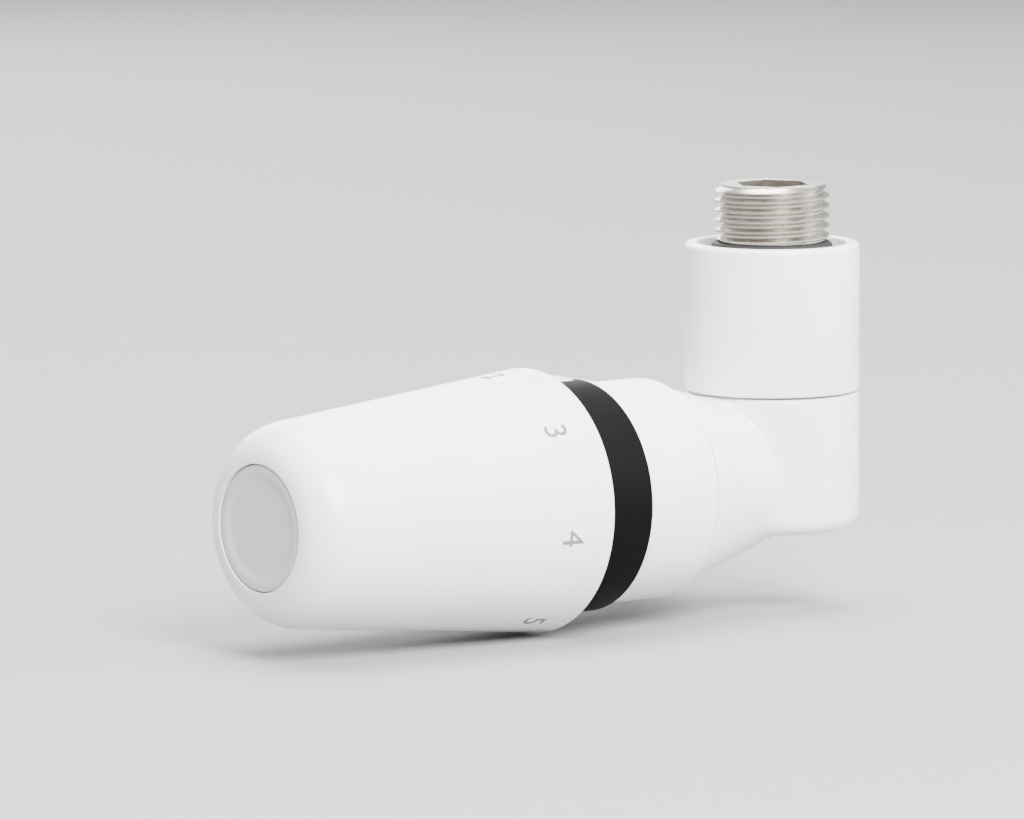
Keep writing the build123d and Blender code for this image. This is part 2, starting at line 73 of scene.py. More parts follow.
CAD_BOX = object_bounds()
MM = 0.001
CAD_MERGE = 1e-6  # vertices of a copied CAD mesh that are nearer than this, in metres, are one
SPUN_MERGE = 1e-7  # the same for a shape that is made here


def linear(hex_colour):
    """Turn an sRGB hex colour into linear red, green, blue and alpha."""
    channels = [int(hex_colour[i : i + 2], 16) / 255 for i in (1, 3, 5)]
    return tuple(c / 12.92 if c <= 0.04045 else ((c + 0.055) / 1.055) ** 2.4 for c in channels) + (1.0,)


# ---- Where things are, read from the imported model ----
def middle(node):
    """The middle of a node's box."""
    low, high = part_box(node)
    return (low + high) / 2


HEAD_HEIGHT = middle("cap_shell").z
INLET_X = middle("inlet_cover").x


def on_head(along, radius):
    """A point of the head's half section: along runs from the tail axis to the head's end."""
    return Vector((-along, 0, HEAD_HEIGHT + radius))


def on_tail(along, radius):
    """A point of the tail's half section: along runs up."""
    return Vector((radius, 0, along))


def on_inlet(along, radius):
    """A point of the inlet's half section: along runs to the wall."""
    return Vector((INLET_X, along, HEAD_HEIGHT + radius))


LINES = {
    "head": (on_head, Vector((0, 0, HEAD_HEIGHT)), Vector((-1, 0, 0))),
    "tail": (on_tail, Vector((0, 0, 0)), Vector((0, 0, 1))),
    "inlet": (on_inlet, Vector((INLET_X, 0, HEAD_HEIGHT)), Vector((0, 1, 0))),
}


def head_span(node):
    """Start, end and largest radius of a node that is turned about the head's line."""
    low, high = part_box(node)
    return -high.x, -low.x, max(high.y, (high.z - low.z) / 2)


CAP_START, CAP_END, CAP_RIM_RADIUS = head_span("cap_shell")
CAP_FRONT_RADIUS = 17.8 * MM
CAP_TAPER = (CAP_RIM_RADIUS - CAP_FRONT_RADIUS) / (CAP_END - CAP_START)


def cap_radius(along):
    """Radius of the cap's tapering skin at a place along the head."""
    return CAP_RIM_RADIUS - CAP_TAPER * (along - CAP_START)


# ---- Mesh steps shared by the pieces ----
def rounded_section(bm, corners, place, segments=4):
    """Lay out a half section's corners, (along, radius, rounding), and round them.

    A rounding is how far a straight cut across a square corner would lie from it, so each side
    is cut at the square root of two times that."""
    verts = [bm.verts.new(place(along, radius)) for along, radius, _ in corners]
    for a, b in zip(verts, verts[1:] + verts[:1]):
        bm.edges.new((a, b))
    for vert, (_, _, rounding) in zip(verts, corners):
        if rounding:
            bmesh.ops.bevel(
                bm,
                geom=[vert],
                offset=rounding * (2**0.5),
                segments=segments,
                profile=0.5,
                affect="VERTICES",
                material=-1,
            )


def spun(corners, line, steps, segments):
    """Turn a rounded half section all the way round a line into a shell."""
    place, centre, axis = LINES[line]
    bm = bmesh.new()
    rounded_section(bm, corners, place, segments)
    bmesh.ops.spin(
        bm,
        geom=bm.verts[:] + bm.edges[:],
        cent=centre,
        axis=axis,
        angle=2 * pi,
        steps=steps,
        use_merge=True,
    )
    bmesh.ops.remove_doubles(bm, verts=bm.verts[:], dist=SPUN_MERGE)
    bmesh.ops.recalc_face_normals(bm, faces=bm.faces[:])
    return bm


def copied(node):
    """A copy of a CAD node's mesh, with its loose triangles merged."""
    bm = bmesh.new()
    bm.from_mesh(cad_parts[node].data)
    bmesh.ops.remove_doubles(bm, verts=bm.verts[:], dist=CAD_MERGE)
    return bm


def add_part(whole, part):
    """Add one bmesh to another, and free it."""
    holder = bpy.data.meshes.new("holder")
    part.to_mesh(holder)
    part.free()
    whole.from_mesh(holder)
    bpy.data.meshes.remove(holder)


def evaluated_mesh(context, thing):
    """The mesh of an object with its modifiers applied, or of a text. The object is removed."""
    context.scene.collection.objects.link(thing)
    context.view_layer.update()
    mesh = bpy.data.meshes.new_from_object(thing.evaluated_get(context.evaluated_depsgraph_get()))
    bpy.data.objects.remove(thing)
    return mesh


def soft_shaded(bm):
    """Shade smoothly across everything but real edges."""
    limit = radians(32)
    for face in bm.faces:
        face.smooth = True
    for edge in bm.edges:
        edge.smooth = len(edge.link_faces) == 2 and edge.calc_face_angle(0) < limit


def settle(bm, name, body, material, node=None):
    """Turn a bmesh into a finished piece that rides on a body and may stand for a CAD node."""
    soft_shaded(bm)
    mesh = bpy.data.meshes.new(name)
    bm.to_mesh(mesh)
    bm.free()
    piece = bpy.data.objects.new(name, mesh)
    bpy.context.scene.collection.objects.link(piece)
    mesh.materials.append(material)
    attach(piece, body)
    if node:
        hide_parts(node)
    return piece


def stretching(name, node, finish, near):
    """Stand for a spring or bellows with a fixed copy of its mesh.

    The copy is first set on the body named near, then let go of it and fixed where it is."""
    piece = settle(copied(node), name, near, FINISHES[finish], node)
    piece.parent = None
    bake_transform(piece)
    return piece


def dress(finish_of):
    """Give carried-over model nodes their finish."""
    for node, finish in finish_of.items():
        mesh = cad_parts[node].data
        mesh.materials.clear()
        mesh.materials.append(FINISHES[finish])


# ---- Materials ----
def add_node(tree, kind, settings=None, links=None):
    """Add a node, set its properties or sockets, and link its sockets from (node, output)."""
    node = tree.nodes.new(kind)
    for key, value in (settings or {}).items():
        if hasattr(node, key):
            setattr(node, key, value)
        else:
            node.inputs[key].default_value = value
    for key, (source, output) in (links or {}).items():
        tree.links.new(source.outputs[output], node.inputs[key])
    return node


def begin_material(name):
    """An empty material with its shader and its Object coordinates."""
    material = bpy.data.materials.new(name)
    material.use_nodes = True
    tree = material.node_tree
    tree.nodes.clear()
    coords = add_node(tree, "ShaderNodeTexCoord")
    shader = add_node(tree, "ShaderNodeBsdfPrincipled")
    add_node(tree, "ShaderNodeOutputMaterial", links={"Surface": (shader, "BSDF")})
    return material, tree, coords, shader


def enamel(name, colours, roughness, ripple_mm, ripple_depth_mm):
    """Powder-coated enamel on cast brass: a slow orange-peel ripple and a barely uneven tone."""
    material, tree, coords, shader = begin_material(name)
    drift_mm = 18
    drift = add_node(
        tree,
        "ShaderNodeTexNoise",
        {"Scale": 1 / (drift_mm * MM), "Detail": 2.0, "Roughness": 0.5},
        {"Vector": (coords, "Object")},
    )
    tone = add_node(tree, "ShaderNodeValToRGB", links={"Fac": (drift, "Fac")})
    tone.color_ramp.elements[0].position = 0.35
    tone.color_ramp.elements[1].position = 0.65
    tone.color_ramp.elements[0].color = colours[0]
    tone.color_ramp.elements[1].color = colours[1]
    peel = add_node(
        tree,
        "ShaderNodeTexNoise",
        {"Scale": 1 / (ripple_mm * MM), "Detail": 1.0, "Roughness": 0.4},
        {"Vector": (coords, "Object")},
    )
    relief = add_node(
        tree,
        "ShaderNodeBump",
        {"Strength": 0.5, "Distance": ripple_depth_mm * MM},
        {"Height": (peel, "Fac")},
    )
    gloss = add_node(
        tree,
        "ShaderNodeMapRange",
        {"From Min": 0.3, "From Max": 0.7, "To Min": roughness * 0.85, "To Max": roughness * 1.15},
        {"Value": (drift, "Fac")},
    )
    shader.inputs["IOR"].default_value = 1.5
    tree.links.new(tone.outputs["Color"], shader.inputs["Base Color"])
    tree.links.new(gloss.outputs["Result"], shader.inputs["Roughness"])
    tree.links.new(relief.outputs["Normal"], shader.inputs["Normal"])
    return material


def moulded(name, colours, roughness, grain_mm, grain_depth_mm, shine=0.5):
    """Injection-moulded plastic: the tool's spark-eroded grain and a faint flow in its tone.

    The grain is drawn coarser than it is in life, so that it shows."""
    material, tree, coords, shader = begin_material(name)
    flow_mm = 25
    flow = add_node(
        tree,
        "ShaderNodeTexNoise",
        {"Scale": 1 / (flow_mm * MM), "Detail": 3.0, "Roughness": 0.55, "Distortion": 0.6},
        {"Vector": (coords, "Object")},
    )
    tone = add_node(tree, "ShaderNodeValToRGB", links={"Fac": (flow, "Fac")})
    tone.color_ramp.elements[0].position = 0.3
    tone.color_ramp.elements[1].position = 0.7
    tone.color_ramp.elements[0].color = colours[0]
    tone.color_ramp.elements[1].color = colours[1]
    grain = add_node(
        tree,
        "ShaderNodeTexVoronoi",
        {"Scale": 1 / (grain_mm * MM), "feature": "SMOOTH_F1", "Smoothness": 0.7},
        {"Vector": (coords, "Object")},
    )
    relief = add_node(
        tree,
        "ShaderNodeBump",
        {"Strength": 0.4, "Distance": grain_depth_mm * MM},
        {"Height": (grain, "Distance")},
    )
    gloss = add_node(
        tree,
        "ShaderNodeMapRange",
        {"From Min": 0.3, "From Max": 0.7, "To Min": roughness * 0.9, "To Max": roughness * 1.1},
        {"Value": (flow, "Fac")},
    )
    shader.inputs["IOR"].default_value = 1.53
    shader.inputs["Specular IOR Level"].default_value = shine
    tree.links.new(tone.outputs["Color"], shader.inputs["Base Color"])
    tree.links.new(gloss.outputs["Result"], shader.inputs["Roughness"])
    tree.links.new(relief.outputs["Normal"], shader.inputs["Normal"])
    return material


WAVE_PERIOD = 2 * pi / 20  # length of one band of a wave texture at scale 1, in metres


def turned_metal(name, colours, roughness, along, groove_mm, groove_depth_mm):
    """Metal turned on a lathe: fine rings across the piece's own line, and a slow tarnish.

    The rings are drawn a little coarser than they are in life, so that they show."""
    material, tree, coords, shader = begin_material(name)
    tarnish_mm = 6
    tarnish = add_node(
        tree,
        "ShaderNodeTexNoise",
        {"Scale": 1 / (tarnish_mm * MM), "Detail": 3.0, "Roughness": 0.6},
        {"Vector": (coords, "Object")},
    )
    tone = add_node(tree, "ShaderNodeValToRGB", links={"Fac": (tarnish, "Fac")})
    tone.color_ramp.elements[0].position = 0.3
    tone.color_ramp.elements[1].position = 0.7
    tone.color_ramp.elements[0].color = colours[0]
    tone.color_ramp.elements[1].color = colours[1]
    rings = add_node(
        tree,
        "ShaderNodeTexWave",
        {
            "wave_type": "BANDS",
            "bands_direction": along,
            "Scale": WAVE_PERIOD / (groove_mm * MM),
            "Distortion": 0.6,
            "Detail": 1.0,
        },
        {"Vector": (coords, "Object")},
    )
    relief = add_node(
        tree,
        "ShaderNodeBump",
        {"Strength": 0.35, "Distance": groove_depth_mm * MM},
        {"Height": (rings, "Fac")},
    )
    gloss = add_node(
        tree,
        "ShaderNodeMapRange",
        {"From Min": 0.3, "From Max": 0.7, "To Min": roughness * 0.8, "To Max": roughness * 1.25},
        {"Value": (tarnish, "Fac")},
    )
    shader.inputs["Metallic"].default_value = 1.0
    tree.links.new(tone.outputs["Color"], shader.inputs["Base Color"])
    tree.links.new(gloss.outputs["Result"], shader.inputs["Roughness"])
    tree.links.new(relief.outputs["Normal"], shader.inputs["Normal"])
    return material


def soft_solid(name, colours, roughness, speck_mm, speck_depth_mm):
    """Rubber or pressed fibre: dull, with a dusty speckle that is drawn coarse enough to show."""
    material, tree, coords, shader = begin_material(name)
    speck = add_node(
        tree,
        "ShaderNodeTexNoise",
        {"Scale": 1 / (speck_mm * MM), "Detail": 4.0, "Roughness": 0.65},
        {"Vector": (coords, "Object")},
    )
    tone = add_node(tree, "ShaderNodeValToRGB", links={"Fac": (speck, "Fac")})
    tone.color_ramp.elements[0].position = 0.4
    tone.color_ramp.elements[1].position = 0.75
    tone.color_ramp.elements[0].color = colours[0]
    tone.color_ramp.elements[1].color = colours[1]
    relief = add_node(
        tree,
        "ShaderNodeBump",
        {"Strength": 0.5, "Distance": speck_depth_mm * MM},
        {"Height": (speck, "Fac")},
    )
    shader.inputs["IOR"].default_value = 1.52
    shader.inputs["Roughness"].default_value = roughness
    tree.links.new(tone.outputs["Color"], shader.inputs["Base Color"])
    tree.links.new(relief.outputs["Normal"], shader.inputs["Normal"])
    return material


def studio_board(name, colours, stipple_mm):
    """Matt painted board for the floor: almost even, with a soft roller stipple."""
    material, tree, coords, shader = begin_material(name)
    stipple = add_node(
        tree,
        "ShaderNodeTexNoise",
        {"Scale": 1 / (stipple_mm * MM), "Detail": 2.0},
        {"Vector": (coords, "Object")},
    )
    tone = add_node(tree, "ShaderNodeValToRGB", links={"Fac": (stipple, "Fac")})
    tone.color_ramp.elements[0].color = colours[0]
    tone.color_ramp.elements[1].color = colours[1]
    shader.inputs["Roughness"].default_value = 0.85
    tree.links.new(tone.outputs["Color"], shader.inputs["Base Color"])
    return material


FINISHES = {}


def make_finishes(colours):
    """Make every finish once. Keys ending in X, Y or Z are turned along that direction."""
    if FINISHES:
        return

    def tones(darker, lighter):
        return tuple(darker) + (1.0,), tuple(lighter) + (1.0,)

    # white polyester powder coat on cast brass: even and glossy, but lights in it blur a little
    FINISHES["enamel"] = enamel(
        "white_powder_coat_on_cast_brass",
        tones(colours.enamel_shade, colours.enamel),
        roughness=0.27,
        ripple_mm=1.6,
        ripple_depth_mm=0.02,
    )
    # white ABS from a finely polished tool: a soft, slightly waxy sheen
    FINISHES["cap"] = moulded(
        "white_abs_satin_moulded",
        tones(colours.cap_shade, colours.cap),
        roughness=0.33,
        grain_mm=0.45,
        grain_depth_mm=0.006,
    )
    # the front disc is moulded with a duller face, and its colour is a painted shade: a light grey for
    # the shade that falls on the front face, so it reads greyer than the cap
    FINISHES["disc"] = moulded(
        "white_abs_matt_painted_shade",
        (linear("#C2C2C1"), linear("#CACAC9")),
        roughness=0.5,
        grain_mm=0.4,
        grain_depth_mm=0.012,
    )
    # black glass-filled nylon from a spark-eroded tool: dull and faintly grainy, with hardly any
    # sheen, so that it stays black between two white pieces
    FINISHES["ring"] = moulded(
        "black_nylon_spark_grain",
        tones(colours.ring, colours.ring_shade),
        roughness=0.6,
        grain_mm=0.5,
        grain_depth_mm=0.02,
        shine=0.06,
    )
    # grey acetal: slippery inner mouldings with a low, even gloss
    FINISHES["grey_plastic"] = moulded(
        "grey_acetal_moulded",
        (linear("#8F9192"), linear("#9A9C9D")),
        roughness=0.4,
        grain_mm=0.5,
        grain_depth_mm=0.01,
    )
    # white nylon let into the black ring: a clean bright mark
    FINISHES["mark"] = moulded(
        "white_nylon_inlay",
        (linear("#E6E6E3"), linear("#EFEFEC")),
        roughness=0.4,
        grain_mm=0.4,
        grain_depth_mm=0.006,
    )
    # grey pad-printed ink: flat and faint on the white cap
    FINISHES["print"] = moulded(
        "grey_pad_printed_ink",
        (linear("#66696C"), linear("#707376")),
        roughness=0.55,
        grain_mm=0.3,
        grain_depth_mm=0.004,
    )
    for direction in "XYZ":
        # nickel plate on turned brass: warm grey, with fine rings that draw the lights out
        FINISHES["nickel" + direction] = turned_metal(
            "satin_nickel_plate_turned_" + direction.lower(),
            (linear("#BFBBB2"), linear("#CDC9C1")),
            roughness=0.26,
            along=direction,
            groove_mm=0.35,
            groove_depth_mm=0.004,
        )
        # raw brass off the lathe: yellow, slowly tarnished, with plain tool rings
        FINISHES["brass" + direction] = turned_metal(
            "raw_brass_turned_" + direction.lower(),
            (linear("#B08D4C"), linear("#CDAA64")),
            roughness=0.3,
            along=direction,
            groove_mm=0.4,
            groove_depth_mm=0.006,
        )
    # ground stainless steel: the brightest of the metals, almost without rings
    FINISHES["steel"] = turned_metal(
        "stainless_steel_ground",
        (linear("#A9A9AA"), linear("#BDBDBE")),
        roughness=0.22,
        along="X",
        groove_mm=0.2,
        groove_depth_mm=0.002,
    )
    # drawn spring wire: darker than the ground steel, with a greasy gloss
    FINISHES["spring"] = turned_metal(
        "drawn_spring_steel_wire",
        (linear("#77787B"), linear("#8C8D90")),
        roughness=0.35,
        along="X",
        groove_mm=0.3,
        groove_depth_mm=0.002,
    )
    # deep-drawn aluminium: pale and silky
    FINISHES["can"] = turned_metal(
        "drawn_aluminium_can",
        (linear("#B9BABD"), linear("#C9CACC")),
        roughness=0.32,
        along="X",
        groove_mm=0.5,
        groove_depth_mm=0.004,
    )
    # moulded rubber: a dull, soft black with a dusty bloom
    FINISHES["rubber"] = soft_solid(
        "black_epdm_rubber_moulded",
        (linear("#141414"), linear("#242424")),
        roughness=0.7,
        speck_mm=0.6,
        speck_depth_mm=0.01,
    )
    # pressed fibre: mottled grey and quite matt
    FINISHES["fibre"] = soft_solid(
        "grey_fibre_gasket_pressed",
        (linear("#595C5B"), linear("#747775")),
        roughness=0.85,
        speck_mm=0.4,
        speck_depth_mm=0.03,
    )


# ---- What a user can change ----
class ValveSizes(bpy.types.PropertyGroup):
    """Sizes of the details that are added to the model."""

    edge_round: bpy.props.FloatProperty(
        name="Edge rounding",
        description="Rounding of the fine outer edges",
        default=0.35 * MM,
        unit="LENGTH",
        precision=5,
    )
    thread_pitch: bpy.props.FloatProperty(
        name="Tail thread pitch",
        description="Pitch of the radiator tail's thread, 14 turns to the inch",
        default=25.4 / 14 * MM,
        unit="LENGTH",
        precision=5,
    )
    thread_depth: bpy.props.FloatProperty(
        name="Tail thread depth",
        description="Height of the thread from root to crest",
        default=1.16 * MM,
        unit="LENGTH",
        precision=5,
    )
    number_height: bpy.props.FloatProperty(
        name="Number height",
        description="Height of the numbers printed near the cap's rim",
        default=4.6 * MM,
        unit="LENGTH",
        precision=5,
    )
    number_step: bpy.props.FloatProperty(
        name="Angle between numbers",
        description="How far the cap turns from one number to the next",
        default=radians(50),
        subtype="ANGLE",
    )


class ValveColours(bpy.types.PropertyGroup):
    """Colours of the visible finishes."""

    cap: bpy.props.FloatVectorProperty(
        name="Cap", description="White plastic of the cap", subtype="COLOR", size=3,
        min=0.0, max=1.0, default=linear("#F4F4F3")[:3],
    )
    cap_shade: bpy.props.FloatVectorProperty(
        name="Cap, darker tone", description="Darker tone in the cap's plastic", subtype="COLOR",
        size=3, min=0.0, max=1.0, default=linear("#EFEFEE")[:3],
    )
    enamel: bpy.props.FloatVectorProperty(
        name="Enamel", description="White coating of the metal pieces", subtype="COLOR", size=3,
        min=0.0, max=1.0, default=linear("#F6F6F5")[:3],
    )
    enamel_shade: bpy.props.FloatVectorProperty(
        name="Enamel, darker tone", description="Darker tone in the coating", subtype="COLOR",
        size=3, min=0.0, max=1.0, default=linear("#F1F1F0")[:3],
    )
    ring: bpy.props.FloatVectorProperty(
        name="Ring", description="Black plastic behind the cap", subtype="COLOR", size=3,
        min=0.0, max=1.0, default=linear("#020202")[:3],
    )
    ring_shade: bpy.props.FloatVectorProperty(
        name="Ring, lighter tone", description="Lighter tone in the black plastic", subtype="COLOR",
        size=3, min=0.0, max=1.0, default=linear("#060606")[:3],
    )


# ---- Operators: one for each piece or group of like pieces ----
class VALVE_OT_cap(bpy.types.Operator):
    """Build the tapering cap with its rim land, bearing flange and front recess"""

    bl_idname = "valve.cap"
    bl_label = "Cap"

    def execute(self, context):
        make_finishes(context.scene.valve_colours)
        start, end, rim = CAP_START, CAP_END, CAP_RIM_RADIUS
        floor, _, disc_radius = head_span("cap_end_disc")
        wall = 2.1 * MM
        nose_rounding = 5.5 * MM
        recess_radius = disc_radius + 0.2 * MM
        recess_back = floor - 2.0 * MM
        fine = 0.2 * MM

        # a fine groove sets off the rim land
        groove = start + 3.4 * MM
        groove_end = groove + 0.9 * MM
        groove_slope = 0.25 * MM
        groove_floor = cap_radius(groove) - 0.22 * MM
        groove_rounding = 0.08 * MM
        outside = [
            (start, rim - wall, fine),
            (start, rim, 0.7 * MM),
            (groove, cap_radius(groove), 0.0),
            (groove + groove_slope, groove_floor, groove_rounding),
            (groove_end - groove_slope, groove_floor, groove_rounding),
            (groove_end, cap_radius(groove_end), 0.0),
            (end, cap_radius(end), nose_rounding),
            (end, recess_radius, 0.25 * MM),
            (floor, recess_radius, 0.0),
            (floor, 0.0, 0.0),
        ]

        # the flange turns on the head's guide tube
        flange = start + 3.7 * MM
        flange_end = flange + 2.6 * MM
        flange_bore = 15.0 * MM
        inside = [
            (recess_back, 0.0, 0.0),
            (recess_back, cap_radius(end) - wall, 1.5 * MM),
            (flange_end, cap_radius(flange_end) - wall, 0.0),
            (flange_end, flange_bore, fine),
            (flange, flange_bore, fine),
            (flange, cap_radius(flange) - wall, 0.0),
        ]
        bm = spun(outside + inside, "head", steps=192, segments=6)
        settle(bm, "cap", "cap", FINISHES["cap"], "cap_shell")
        return {"FINISHED"}


class VALVE_OT_front_disc(bpy.types.Operator):
    """Build the slightly dished disc in the cap's front face"""

    bl_idname = "valve.front_disc"
    bl_label = "Front disc"

    def execute(self, context):
        make_finishes(context.scene.valve_colours)
        start, end, radius = head_span("cap_end_disc")
        border = end - 0.15 * MM
        dish = end - 0.45 * MM
        corners = [
            (start, 0.0, 0.0),
            (start, radius, 0.0),
            (border, radius, 0.4 * MM),
            (border, radius - 1.6 * MM, 0.3 * MM),
            (dish, radius - 2.6 * MM, 0.4 * MM),
            (dish, 0.0, 0.0),
        ]
        bm = spun(corners, "head", steps=128, segments=4)
        # the disc's finish is a light grey that paints in the shade on the cap's front face
        settle(bm, "front_disc", "cap", FINISHES["disc"], "cap_end_disc")
        return {"FINISHED"}


def flat_mark(context, mark, height):
    """One printed character as a flat mesh, fine enough to be bent round the cap."""
    size_of_height = 1.4  # a font's size for digits of height 1
    longest_edge = 0.8 * MM
    curve = bpy.data.curves.new("mark_" + mark, "FONT")
    curve.body = mark
    curve.size = height * size_of_height
    curve.align_x = "CENTER"
    curve.align_y = "CENTER"
    curve.resolution_u = 6
    mesh = evaluated_mesh(context, bpy.data.objects.new("mark_" + mark, curve))
    bpy.data.curves.remove(curve)
    part = bmesh.new()
    part.from_mesh(mesh)
    bpy.data.meshes.remove(mesh)
    bmesh.ops.remove_doubles(part, verts=part.verts[:], dist=SPUN_MERGE)
    bmesh.ops.triangulate(part, faces=part.faces[:])
    long_edges = [edge for edge in part.edges if edge.calc_length() > longest_edge]
    bmesh.ops.subdivide_edges(part, edges=long_edges, cuts=1)
    return part


def wrap_on_cap(part, centre, turn):
    """Thicken a flat mark and bend it round the cap, turned by an angle from the top."""
    ink_face = 0.06 * MM
    ink_root = -0.12 * MM
    raised = bmesh.ops.extrude_face_region(part, geom=part.faces[:])
    lifted = {v for v in raised["geom"] if isinstance(v, bmesh.types.BMVert)}
    for vert in part.verts:
        across, up = vert.co.x, vert.co.y
        along = centre - up
        skin = cap_radius(along)
        radius = skin + (ink_face if vert in lifted else ink_root)
        angle = turn - across / skin
        vert.co = Vector((-along, radius * sin(angle), HEAD_HEIGHT + radius * cos(angle)))
    bmesh.ops.recalc_face_normals(part, faces=part.faces[:])


class VALVE_OT_numbers(bpy.types.Operator):
    """Print the numbers round the cap, with the middle one at the index mark"""

    bl_idname = "valve.numbers"
    bl_label = "Numbers"

    def execute(self, context):
        make_finishes(context.scene.valve_colours)
        sizes = context.scene.valve_sizes
        centre = CAP_START + 9.2 * MM
        marks = "0*12345"  # off, frost guard and five steps
        joined = bmesh.new()
        for index, mark in enumerate(marks):
            part = flat_mark(context, mark, sizes.number_height)
            wrap_on_cap(part, centre, (len(marks) // 2 - index) * sizes.number_step)
            add_part(joined, part)
        settle(joined, "dial_numbers", "cap", FINISHES["print"])
        return {"FINISHED"}


class VALVE_OT_collar(bpy.types.Operator):
    """Build the white collar: the nut that holds the head on the body"""

    bl_idname = "valve.collar"
    bl_label = "Collar"

    def execute(self, context):
        make_finishes(context.scene.valve_colours)
        start, end, _ = head_span("head_union_nut")
        low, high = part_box("head_union_nut")
        radius = (high.z - low.z) / 2
        thread_bore = 15.05 * MM
        lip_bore = 12.77 * MM
        lip = end - 3.8 * MM
        edge = 1.0 * MM
        bore_edge = 0.3 * MM
        groove = start + 2.6 * MM
        groove_end = start + 3.3 * MM
        groove_depth = 0.2 * MM
        corners = [
            (start, thread_bore, bore_edge),
            (start, radius, edge),
            (groove, radius, 0.0),
            (groove + groove_depth, radius - groove_depth, 0.0),
            (groove_end - groove_depth, radius - groove_depth, 0.0),
            (groove_end, radius, 0.0),
            (end, radius, edge),
            (end, lip_bore, bore_edge),
            (lip, lip_bore, 0.0),
            (lip, thread_bore, 0.0),
        ]
        bm = spun(corners, "head", steps=160, segments=5)
        settle(bm, "collar", "valve", FINISHES["enamel"], "head_union_nut")
        return {"FINISHED"}


class VALVE_OT_union_nut(bpy.types.Operator):
    """Build the tall union nut under the radiator"""

    bl_idname = "valve.union_nut"
    bl_label = "Union nut"

    def execute(self, context):
        make_finishes(context.scene.valve_colours)
        sizes = context.scene.valve_sizes
        low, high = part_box("union_nut")
        radius = (high.x - low.x) / 2
        thread_bore = 13.3 * MM
        mouth_bore = 13.6 * MM
        shelf_bore = 11.0 * MM
        shelf_top = high.z - 5.9 * MM
        shelf_bottom = high.z - 8.9 * MM
        fine = 0.2 * MM
        corners = [
            (low.z, thread_bore, fine),
            (low.z, radius, sizes.edge_round),
            (high.z, radius, 2 * sizes.edge_round),
            (high.z, mouth_bore, 0.25 * MM),
            (shelf_top, mouth_bore, 0.3 * MM),
            (shelf_top, shelf_bore, fine),
            (shelf_bottom, shelf_bore, 0.0),
            (shelf_bottom, thread_bore, 0.0),
        ]
        bm = spun(corners, "tail", steps=144, segments=5)
        settle(bm, "tall_union_nut", "valve", FINISHES["enamel"], "union_nut")
        return {"FINISHED"}


def turned_down(core, neck, root):
    """Turn the thread's length of the tail down to the thread's root, above the neck."""
    hair = 0.01 * MM
    for vert in core.verts:
        reach = hypot(vert.co.x, vert.co.y)
        on_thread = vert.co.z > hair or (vert.co.z > -hair and reach > neck)
        if on_thread and reach > root:
            vert.co.x *= root / reach
            vert.co.y *= root / reach


def wound_thread(root, crest, pitch, top):
    """One ridge wound up round the tail, with its foot let into the core and its ends cut level."""
    foot = root - 0.2 * MM
    run_in, flank, crown = 0.06 * pitch, 0.32 * pitch, 0.16 * pitch
    along = -2 * pitch
    ridge = [(along, foot, 0.0)]
    for step, radius in (
        (run_in, root),
        (flank, crest),
        (crown, crest),
        (flank, root),
        (run_in, foot),
    ):
        along += step
        ridge.append((along, radius, 0.0))
    steps = 72
    turns = int(top / pitch) + 4
    thread = bmesh.new()
    rounded_section(thread, ridge, on_tail)
    bmesh.ops.spin(
        thread,
        geom=thread.verts[:] + thread.edges[:],
        cent=(0, 0, 0),
        axis=(0, 0, 1),
        dvec=(0, 0, pitch / steps),
        angle=2 * pi * turns,
        steps=steps * turns,
        use_merge=False,
    )
    bmesh.ops.remove_doubles(thread, verts=thread.verts[:], dist=0.001 * MM)
    margin = 0.05 * MM
    for height, below in ((margin, True), (top - margin, False)):
        bmesh.ops.bisect_plane(
            thread,
            geom=thread.verts[:] + thread.edges[:] + thread.faces[:],
            plane_co=(0, 0, height),
            plane_no=(0, 0, 1),
            clear_inner=below,
            clear_outer=not below,
        )
    open_edges = [edge for edge in thread.edges if len(edge.link_faces) == 1]
    bmesh.ops.holes_fill(thread, edges=open_edges)
    return thread


def lead_in(thread, crest, top):
    """Chamfer the thread's upper end, so that it starts easily."""
    chamfer_start = top - 1.2 * MM
    chamfer_slope = 0.8
    for vert in thread.verts:
        reach = hypot(vert.co.x, vert.co.y)
        limit = crest - chamfer_slope * max(0.0, vert.co.z - chamfer_start)
        if reach > limit:
            vert.co.x *= limit / reach
            vert.co.y *= limit / reach


class VALVE_OT_tail(bpy.types.Operator):
    """Build the radiator tail: its turned core with a key socket, and the thread cut round it"""

    bl_idname = "valve.tail"
    bl_label = "Radiator tail"

    def execute(self, context):
        make_finishes(context.scene.valve_colours)
        sizes = context.scene.valve_sizes
        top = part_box("radiator_tail")[1].z
        crest = 10.48 * MM
        root = crest - sizes.thread_depth
        outside_neck = 9.7 * MM
        core = copied("radiator_tail")
        turned_down(core, outside_neck, root)
        thread = wound_thread(root, crest, sizes.thread_pitch, top)
        lead_in(thread, crest, top)
        bmesh.ops.triangulate(thread, faces=[f for f in thread.faces if len(f.verts) > 4])
        bmesh.ops.recalc_face_normals(thread, faces=thread.faces[:])
        add_part(core, thread)
        finish = FINISHES["nickelZ"]
        settle(core, "threaded_tail", "valve", finish, "radiator_tail")
        return {"FINISHED"}


BRANCH_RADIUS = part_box("valve_body")[1].x
INLET_BOSS_START = 8.0 * MM  # along the inlet's line, where its boss is clear of the branch


def from_inlet(p):
    """How far a point is from the inlet's line."""
    return hypot(p.x - INLET_X, p.z - HEAD_HEIGHT)


def from_head_line(p):
    """How far a point is from the head's line."""
    return hypot(p.y, p.z - HEAD_HEIGHT)


